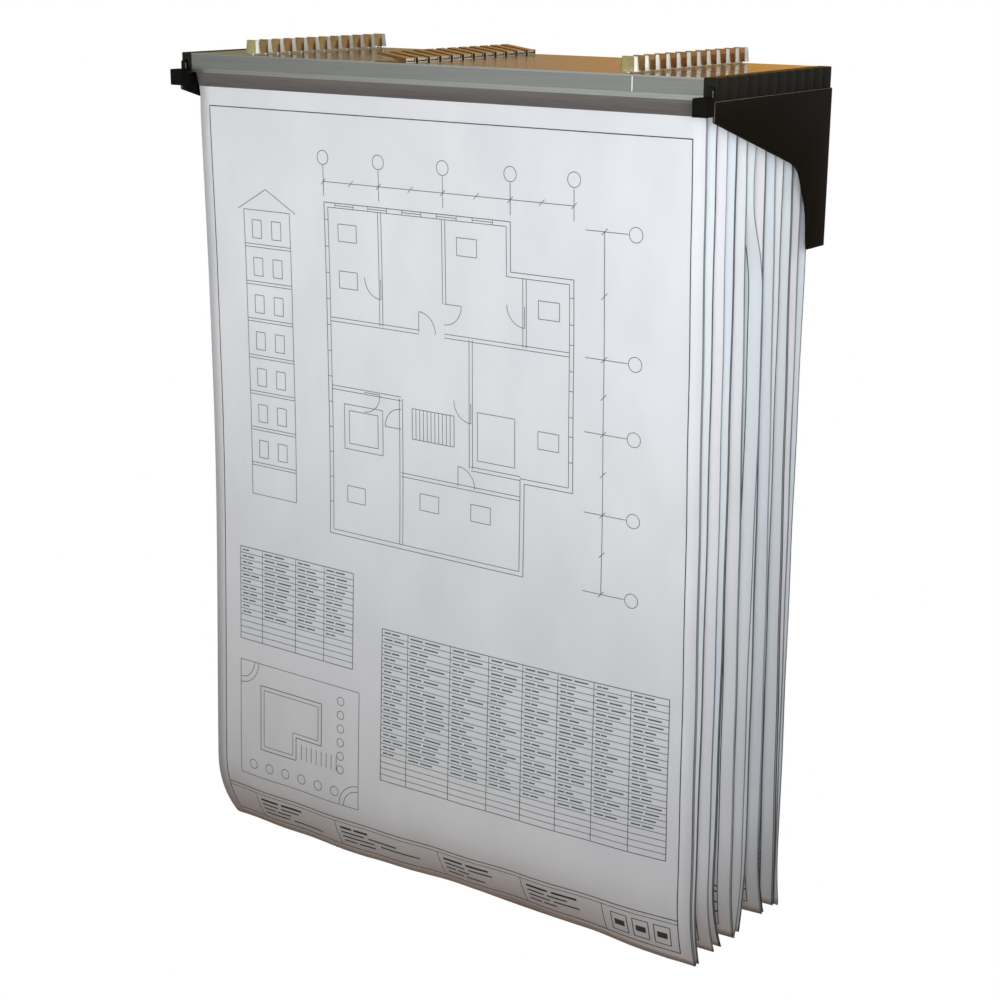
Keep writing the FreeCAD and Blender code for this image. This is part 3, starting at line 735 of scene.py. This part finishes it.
OUTER_WALL = [(210, 150), (500, 150), (500, 210), (590, 210), (590, 470), (520, 470), (520, 590), (210, 590)]
INNER_WALL = [(216, 156), (494, 156), (494, 216), (584, 216), (584, 464), (514, 464), (514, 584), (216, 584)]
OUTER_WIDTH, INNER_GAP = 1.0, 5.0
INNER_WALLS = (
    ((300, 156), (300, 300)), ((400, 156), (400, 260)), ((216, 300), (360, 300)), ((400, 300), (584, 300)),
    ((440, 300), (440, 464)), ((216, 390), (330, 390)), ((330, 390), (330, 584)), ((440, 464), (514, 464)),
    ((330, 490), (514, 490)), ((520, 216), (520, 300)),
)
DOOR = 26
DOORS = (
    ((300, 240), 90), ((400, 260), 0), ((360, 300), 270), ((440, 380), 90), ((330, 430), 180),
    ((420, 490), 270), ((520, 250), 90), ((270, 390), 0),
)
UPPER_WINDOWS, UPPER_WINDOW, UPPER_FACES = range(228, 498, 54), 30, (150, 156)
RIGHT_WINDOWS, RIGHT_WINDOW, RIGHT_FACES = range(232, 456, 56), 32, (584, 590)
LEFT_WINDOWS, LEFT_WINDOW, LEFT_FACES = range(172, 580, 68), 34, (210, 216)
STAIRS, STAIR_STEPS, STAIR_DEPTH = (348, 400, 414, 440), 12, 6
LARGE_TABLES = ((450, 390, 506, 452), (236, 410, 300, 470), (244, 418, 292, 462))
TABLE = (30, 22)
TABLES = ((232, 176), (232, 236), (420, 176), (540, 240), (540, 400), (240, 520), (360, 510), (440, 510))


def draw_wall(fine, start, end):
    """Two lines, one on each side of a level or upright wall."""
    half = INNER_GAP / 2
    across, down = (0, half) if start[1] == end[1] else (half, 0)
    for sign in (-1, 1):
        fine.line((start[0] + sign * across, start[1] + sign * down),
                  (end[0] + sign * across, end[1] + sign * down))


def draw_door(fine, hinge, start):
    """A door leaf and the quarter turn it swings through."""
    fine.arc(hinge, DOOR, start, start + 90)
    open_at = math.radians(start)
    fine.line(hinge, (hinge[0] + DOOR * math.cos(open_at), hinge[1] + DOOR * math.sin(open_at)))


def draw_windows(fine):
    """Windows in the upper, the right and the left wall."""
    outer, inner = UPPER_FACES
    for left in UPPER_WINDOWS:
        fine.box(left, outer, left + UPPER_WINDOW, inner)
        fine.line((left, (outer + inner) / 2), (left + UPPER_WINDOW, (outer + inner) / 2))
    for top in RIGHT_WINDOWS:
        fine.box(RIGHT_FACES[0], top, RIGHT_FACES[1], top + RIGHT_WINDOW)
    for top in LEFT_WINDOWS:
        fine.box(LEFT_FACES[0], top, LEFT_FACES[1], top + LEFT_WINDOW)


def draw_floor_plan(fine):
    """A stepped floor plan with rooms, doors, stairs, windows and tables."""
    fine.path(OUTER_WALL, OUTER_WIDTH, True)
    fine.path(INNER_WALL, closed=True)
    for start, end in INNER_WALLS:
        draw_wall(fine, start, end)
    for hinge, start in DOORS:
        draw_door(fine, hinge, start)
    left, top, right, low = STAIRS
    for step in range(STAIR_STEPS):
        fine.line((left + step * STAIR_DEPTH, top), (left + step * STAIR_DEPTH, low))
    fine.box(left, top, right, low)
    draw_windows(fine)
    for corners in LARGE_TABLES:
        fine.box(*corners)
    for left, top in TABLES:
        fine.box(left, top, left + TABLE[0], top + TABLE[1])


AXES_ACROSS, AXES_DOWN = (210, 300, 400, 500, 590), (150, 300, 390, 490, 590)
AXIS_ABOVE, RING_ABOVE = (104, 142), 94
AXIS_BESIDE, RING_BESIDE = (606, 664), 674
RING, RING_STEPS = 9, 16
TICK = 4
DIMENSION_DOWN, DIMENSION_ACROSS = 124, 632


def with_middles(places):
    """The places and the middles between them, in order."""
    return sorted([*places, *((first + second) / 2 for first, second in zip(places, places[1:]))])


def draw_axes(fine):
    """Column axes with a ring at the end of each, and rows of dimensions."""
    for across in AXES_ACROSS:
        fine.line((across, AXIS_ABOVE[0]), (across, AXIS_ABOVE[1]))
        fine.arc((across, RING_ABOVE), RING, steps=RING_STEPS)
    for down in AXES_DOWN:
        fine.line((AXIS_BESIDE[0], down), (AXIS_BESIDE[1], down))
        fine.arc((RING_BESIDE, down), RING, steps=RING_STEPS)
    fine.line((AXES_ACROSS[0], DIMENSION_DOWN), (AXES_ACROSS[-1], DIMENSION_DOWN))
    fine.line((DIMENSION_ACROSS, AXES_DOWN[0]), (DIMENSION_ACROSS, AXES_DOWN[-1]))
    for across in with_middles(AXES_ACROSS):
        fine.line((across - TICK, DIMENSION_DOWN + TICK), (across + TICK, DIMENSION_DOWN - TICK))
    for down in with_middles(AXES_DOWN):
        fine.line((DIMENSION_ACROSS - TICK, down + TICK), (DIMENSION_ACROSS + TICK, down - TICK))


SECTION = (70, 170, 150, 560)
FLOORS, FIRST_FLOOR, FLOOR_HEIGHT, FLOOR_THICKNESS = 7, 215, 50, 4
SECTION_WINDOWS, WINDOW_WIDTH, WINDOW_ABOVE = (84, 118), 16, (32, 8)
EAVES, RIDGE = 10, 142


def draw_section(fine):
    """A narrow cross section of floors on the left of the sheet."""
    left, top, right, low = SECTION
    fine.box(left, top, right, low)
    for floor in range(FLOORS):
        down = FIRST_FLOOR + floor * FLOOR_HEIGHT
        fine.line((left, down), (right, down))
        fine.line((left, down + FLOOR_THICKNESS), (right, down + FLOOR_THICKNESS))
        for window in SECTION_WINDOWS:
            fine.box(window, down - WINDOW_ABOVE[0], window + WINDOW_WIDTH, down - WINDOW_ABOVE[1])
    fine.path([(left - EAVES, top), ((left + right) / 2, RIDGE), (right + EAVES, top)])


BAR_SHARES = ((0.0, 0.42), (0.5, 1.0))


def bars(drawing, start, end, middle, fill, height):
    """Two plain bars in place of an entry."""
    length = (end - start) * fill
    for first, last in BAR_SHARES:
        drawing.line((start + length * first, middle), (start + length * last, middle), height)


# Each list's left, right and top, its number of rows, and its columns as shares of its width.
LISTS = (
    (300, 728, 706, 24, (0.10, 0.26, 0.40, 0.52, 0.64, 0.76, 0.88)),
    (46, 250, 640, 15, (0.2, 0.5, 0.75)),
)
LIST_SEED = 5
LIST_ROW, LIST_EMPTY_ROWS, LIST_WIDTH, LIST_MARGIN = 9.0, 4, 1.1, 4
ENTRY_HEIGHT, ENTRY_FILL = 2.0, (0.35, 0.95)


def draw_lists(fine, entries):
    """Two blank ruled lists with short bars where their entries go."""
    marks = random.Random(LIST_SEED)
    for left, right, top, rows, shares in LISTS:
        low = top + rows * LIST_ROW
        fine.box(left, top, right, low, LIST_WIDTH)
        columns = [left + (right - left) * share for share in shares]
        for across in columns:
            fine.line((across, top), (across, low))
        for row in range(1, rows):
            fine.line((left, top + row * LIST_ROW), (right, top + row * LIST_ROW))
        for row in range(rows - LIST_EMPTY_ROWS):
            middle = top + (row + 0.5) * LIST_ROW
            for start, end in zip([left] + columns, columns + [right]):
                fill = marks.uniform(*ENTRY_FILL)
                bars(entries, start + LIST_MARGIN, end - LIST_MARGIN, middle, fill, ENTRY_HEIGHT)


PLOT = (46, 806, 262, 978)
PLOT_HOUSE = [(84, 838), (196, 838), (196, 900), (150, 900), (150, 934), (84, 934)]
PLOT_ROOF = [(90, 844), (190, 844), (190, 894), (144, 894), (144, 928), (90, 928)]
HOUSE_WIDTH = 1.2
KERBS = (26, 34)
TREE_STEPS = 12
LOWER_TREES, LOWER_TREE = [(70 + tree * 30, 960) for tree in range(6)], 7
RIGHT_TREES, RIGHT_TREE = [(230, 826 + tree * 20) for tree in range(6)], 6
PARKING_LINES, PARKING_LEFT, PARKING_STEP, PARKING_ENDS = 8, 160, 9, (908, 930)


def draw_plot(fine):
    """A small plan of a plot with rounded kerbs, rows of trees and parking places."""
    left, top, right, low = PLOT
    fine.box(left, top, right, low)
    fine.path(PLOT_HOUSE, HOUSE_WIDTH, True)
    fine.path(PLOT_ROOF, closed=True)
    for radius in KERBS:
        fine.arc((right, low), radius, 180, 270)
        fine.arc((left, top), radius, 0, 90)
    for lower, right_hand in zip(LOWER_TREES, RIGHT_TREES):
        fine.arc(lower, LOWER_TREE, steps=TREE_STEPS)
        fine.arc(right_hand, RIGHT_TREE, steps=TREE_STEPS)
    for count in range(PARKING_LINES):
        across = PARKING_LEFT + count * PARKING_STEP
        fine.line((across, PARKING_ENDS[0]), (across, PARKING_ENDS[1]))


TITLE_CELLS = ((74, 206), (222, 380), (398, 510), (528, 632))
TITLE_SEED = 9
TITLE_ROWS, TITLE_FIRST_ROW, TITLE_ROW = 4, 15, 8
TITLE_BAR, TITLE_HEAD, TITLE_FILL = 2.4, 1.2, (0.3, 0.9)
# Three boxes with a bar in each: their left edges, their size, and their distance below the strip's top.
STAMP_LEFTS, STAMP, STAMP_DROP, STAMP_WIDTH = (652, 682, 712), (22, 28), 14, 1.2
STAMP_MARGIN, STAMP_BAR = 4, 9


def draw_title(bold):
    """Plain bars and boxes in the cells of the title strip."""
    marks = random.Random(TITLE_SEED)
    for left, right in TITLE_CELLS:
        for row in range(TITLE_ROWS):
            middle = TITLE_TOP + TITLE_FIRST_ROW + row * TITLE_ROW
            height = TITLE_BAR + (row == 0) * TITLE_HEAD
            bars(bold, left, right, middle, marks.uniform(*TITLE_FILL), height)
    top, middle = TITLE_TOP + STAMP_DROP, TITLE_TOP + STAMP_DROP + STAMP[1] / 2
    for left in STAMP_LEFTS:
        right = left + STAMP[0]
        bold.box(left, top, right, top + STAMP[1], STAMP_WIDTH)
        bold.line((left + STAMP_MARGIN, middle), (right - STAMP_MARGIN, middle), STAMP_BAR)


def generic_plan():
    """The print of the front sheet."""
    bold = Drawing("front_sheet_border", INK)
    fine = Drawing("front_sheet_plan", FINE_INK)
    entries = Drawing("front_sheet_entries", FINE_INK)
    draw_border(bold)
    draw_floor_plan(fine)
    draw_axes(fine)
    draw_section(fine)
    draw_lists(fine, entries)
    draw_plot(fine)
    draw_title(bold)
    return [bold.piece(), fine.piece(), entries.piece()]


MARGIN_WIDTH, MARGIN_TICK_WIDTH = 1.2, 2.2
MARGIN_FOOT, MARGIN_TICK, MARGIN_CELL = 90, 70, 24
MARGIN_TICKS = (-8, 0, 16, 30)


def margin_print(clamp):
    """The right border and the end of the title strip of a further front sheet, as far as they can show."""
    drawing = Drawing(clamp_name(clamp) + "_margin_print", INK, clamp)
    left, top, right, low = BORDER
    drawing.line((right, top), (right, low), MARGIN_WIDTH)
    drawing.line((right - MARGIN_FOOT, low), (right, low), MARGIN_WIDTH)
    for drop in MARGIN_TICKS:
        drawing.line((right - MARGIN_TICK, TITLE_TOP + drop), (right, TITLE_TOP + drop), MARGIN_TICK_WIDTH)
    drawing.line((right - MARGIN_CELL, TITLE_TOP), (right - MARGIN_CELL, low), MARGIN_WIDTH)
    return drawing.piece()


def hang_sheets():
    """The sets of sheets. Every sheet is cut to the same real size."""
    for clamp in range(CLAMPS):
        for layer in range(LAYERS):
            piece = hung_sheet(clamp, layer)
            printed = []
            if layer == 0:
                printed = generic_plan() if clamp == 0 else [margin_print(clamp)]
            if LIFTED_KEEP[clamp] < 1:
                for soft in [piece] + printed:
                    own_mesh(soft)


# ---------------------------------------------------------------- light, floor and camera

WHITE = (1, 1, 1, 1)
EVEN_LIGHT = (0.066, 0.055, 0.042, 1)
REFLECTED_ROOM = (0.26, 0.25, 0.22, 1)
FLOOR_TONE, FLOOR_ROUGHNESS = (0.70, 0.52, 0.42, 1), 0.9
FLOOR_HALF, FLOOR_LEVEL = 8, -1.6


def white_to_camera(tree, seen, lit):
    """Mixes two background or emission shaders by whether the camera looks at them."""
    path = tree.nodes.new("ShaderNodeLightPath")
    mix = tree.nodes.new("ShaderNodeMixShader")
    tree.links.new(path.outputs["Is Camera Ray"], mix.inputs["Fac"])
    tree.links.new(lit.outputs[0], mix.inputs[1])
    tree.links.new(seen.outputs[0], mix.inputs[2])
    return mix


def set_world():
    """A dim even light, a brighter room in reflections, and white behind."""
    world = bpy.data.worlds.new("studio")
    scene.world = world
    world.use_nodes = True
    tree = world.node_tree
    even = tree.nodes["Background"]
    even.inputs["Color"].default_value = EVEN_LIGHT
    mirrored = tree.nodes.new("ShaderNodeBackground")
    mirrored.inputs["Color"].default_value = REFLECTED_ROOM
    path = tree.nodes.new("ShaderNodeLightPath")
    lit = tree.nodes.new("ShaderNodeMixShader")
    tree.links.new(path.outputs["Is Glossy Ray"], lit.inputs["Fac"])
    tree.links.new(even.outputs[0], lit.inputs[1])
    tree.links.new(mirrored.outputs[0], lit.inputs[2])
    seen = tree.nodes.new("ShaderNodeBackground")
    seen.inputs["Color"].default_value = WHITE
    mix = white_to_camera(tree, seen, lit)
    tree.links.new(mix.outputs[0], tree.nodes["World Output"].inputs["Surface"])


def flat_board(name, half, material):
    """A flat square board about its own middle."""
    work = bmesh.new()
    bmesh.ops.create_grid(work, x_segments=1, y_segments=1, size=half)
    return placed(name, work, material)


def floor_material():
    """Pale to the sheets above it, and white to the camera."""
    material = bpy.data.materials.new("floor_pale")
    material.use_nodes = True
    tree = material.node_tree
    lit = tree.nodes["Principled BSDF"]
    lit.inputs["Base Color"].default_value = FLOOR_TONE
    lit.inputs["Roughness"].default_value = FLOOR_ROUGHNESS
    seen = tree.nodes.new("ShaderNodeEmission")
    seen.inputs["Color"].default_value = WHITE
    mix = white_to_camera(tree, seen, lit)
    tree.links.new(mix.outputs[0], tree.nodes["Material Output"].inputs["Surface"])
    return material


def set_floor():
    """A pale floor, well below the sheets."""
    floor = flat_board("floor", FLOOR_HALF, floor_material())
    floor.location = (0, 0, FLOOR_LEVEL)


def glow_material(name, tones, strength):
    """A glow with three tones from left to right of a board."""
    material = bpy.data.materials.new(name)
    material.use_nodes = True
    tree = material.node_tree
    glow = tree.nodes.new("ShaderNodeEmission")
    glow.inputs["Strength"].default_value = strength
    coordinates = tree.nodes.new("ShaderNodeTexCoord")
    parts = tree.nodes.new("ShaderNodeSeparateXYZ")
    along = tree.nodes.new("ShaderNodeMath")
    along.inputs[1].default_value = 0.5
    ramp = tree.nodes.new("ShaderNodeValToRGB")
    stops = ramp.color_ramp.elements
    stops.new(0.5)
    for (position, colour), stop in zip(tones, stops):
        stop.position, stop.color = position, (*colour, 1)
    tree.links.new(coordinates.outputs["Object"], parts.inputs[0])
    tree.links.new(parts.outputs["X"], along.inputs[0])
    tree.links.new(along.outputs[0], ramp.inputs["Fac"])
    tree.links.new(ramp.outputs["Color"], glow.inputs["Color"])
    tree.links.new(glow.outputs[0], tree.nodes["Material Output"].inputs["Surface"])
    return material


def glossy_card(name, place, size, turn, tones, strength):
    """An upright glowing board that shows only in shiny surfaces."""
    card = flat_board(name, 0.5, glow_material(name, tones, strength))
    card.location = place
    card.scale = (*size, 1)
    card.rotation_euler = (math.radians(90), 0, math.radians(turn))
    card.visible_camera = False
    card.visible_diffuse = False
    card.visible_shadow = False


# A warm board behind for the clamp tops, pale and brown ones at the left for faces, a white one for the knobs.
# Each has its middle, its size, its turn in degrees, its tones at three places along it, and its strength.
CARDS = (
    ("warm_card", (-1.3, 2.1, 1.45), (5.0, 3.0), 33,
     ((0.24, (0.15, 0.16, 0.11)), (0.46, (0.31, 0.20, 0.105)), (0.66, (0.56, 0.26, 0.035))), 1.3),
    ("pale_card", (-1.2, -1.9, -0.15), (2.4, 0.8), 0,
     ((0.1, (0.31, 0.30, 0.27)), (0.5, (0.59, 0.625, 0.60)), (0.9, (0.90, 0.98, 0.96))), 1.0),
    ("brown_card", (-1.2, -1.9, 0.75), (2.8, 1.0), 0,
     ((0.1, (0.40, 0.34, 0.19)), (0.5, (0.50, 0.35, 0.20)), (0.9, (0.46, 0.30, 0.18))), 1.0),
    ("white_card", (2.2, -1.55, 0.55), (1.6, 0.7), 55,
     ((0.1, (1.0, 0.98, 0.92)), (0.5, (1.0, 0.98, 0.92)), (0.9, (1.0, 0.98, 0.92))), 1.6),
)

# Near lights, level with the clamps, so that the sheets darken towards the foot: name, place, power and colour.
NEAR_AIM, NEAR_SIZE = (0.1, -0.25, -0.2), (0.5, 0.5)
NEAR_LIGHTS = (
    ("key", (1.0, -1.15, 0.07), 11.0, (0.95, 1.0, 1.05)),
    ("left_key", (-0.45, -1.2, -0.05), 5.8, (0.97, 1.0, 1.02)),
    ("side_light", (1.35, -0.45, 0.4), 1.9, (1.0, 1.0, 0.98)),
)
BACK_PLACE, BACK_AIM, BACK_SIZE = (-0.7, 2.7, 0.25), (0, 0, -0.42), (1.0, 1.0)
BACK_POWER, BACK_COLOUR, BACK_SPREAD = 6.5, (1.0, 0.99, 0.98), math.radians(70)


def area_light(name, place, aim, size, power, colour):
    """A soft rectangular light that points at a place and shows in no reflection."""
    data = bpy.data.lights.new(name, "AREA")
    data.shape = "RECTANGLE"
    data.size, data.size_y = size
    data.energy = power
    data.color = colour
    light = bpy.data.objects.new(name, data)
    light.location = place
    light.rotation_euler = (Vector(aim) - Vector(place)).to_track_quat("-Z", "Y").to_euler()
    light.visible_camera = False
    light.visible_glossy = False
    scene.collection.objects.link(light)
    return light


def set_lights():
    """The near lights, and a weak narrow one that reaches the rear of the rack."""
    for name, place, power, colour in NEAR_LIGHTS:
        area_light(name, place, NEAR_AIM, NEAR_SIZE, power, colour)
    behind = area_light("back_light", BACK_PLACE, BACK_AIM, BACK_SIZE, BACK_POWER, BACK_COLOUR)
    behind.data.spread = BACK_SPREAD


CAMERA_PLACE = (1.38716, -2.05653, 0.24469)
CAMERA_AZIMUTH = math.radians(35.579)
CAMERA_ELEVATION = math.radians(16.554)
CAMERA_ROLL = math.radians(-0.299)
CAMERA_LENS, CAMERA_SENSOR = 66.587, 36
CAMERA_SHIFT = (0.0005, 0.0003)
CAMERA_NEAR = 0.05


def camera_turn():
    """The camera's axes from its azimuth, elevation and roll."""
    sine, cosine = math.sin(CAMERA_AZIMUTH), math.cos(CAMERA_AZIMUTH)
    rise, level = math.sin(CAMERA_ELEVATION), math.cos(CAMERA_ELEVATION)
    ahead = Vector((-sine * level, cosine * level, -rise))
    right = Vector((cosine, sine, 0))
    down = ahead.cross(right)
    turned_right = right * math.cos(CAMERA_ROLL) + down * math.sin(CAMERA_ROLL)
    turned_down = down * math.cos(CAMERA_ROLL) - right * math.sin(CAMERA_ROLL)
    return Matrix((turned_right, -turned_down, -ahead)).transposed()


def set_camera():
    """The camera, with a plain view of the scene's colours."""
    data = bpy.data.cameras.new("camera")
    data.sensor_width = CAMERA_SENSOR
    data.lens = CAMERA_LENS
    data.shift_x, data.shift_y = CAMERA_SHIFT
    data.clip_start = CAMERA_NEAR
    camera = bpy.data.objects.new("camera", data)
    scene.collection.objects.link(camera)
    camera.matrix_world = Matrix.Translation(CAMERA_PLACE) @ camera_turn().to_4x4()
    scene.camera = camera
    scene.view_settings.view_transform = "Standard"


hard_pieces()
hang_sheets()
set_world()
set_floor()
for card_facts in CARDS:
    glossy_card(*card_facts)
set_lights()
set_camera()

bpy.context.view_layer.update()
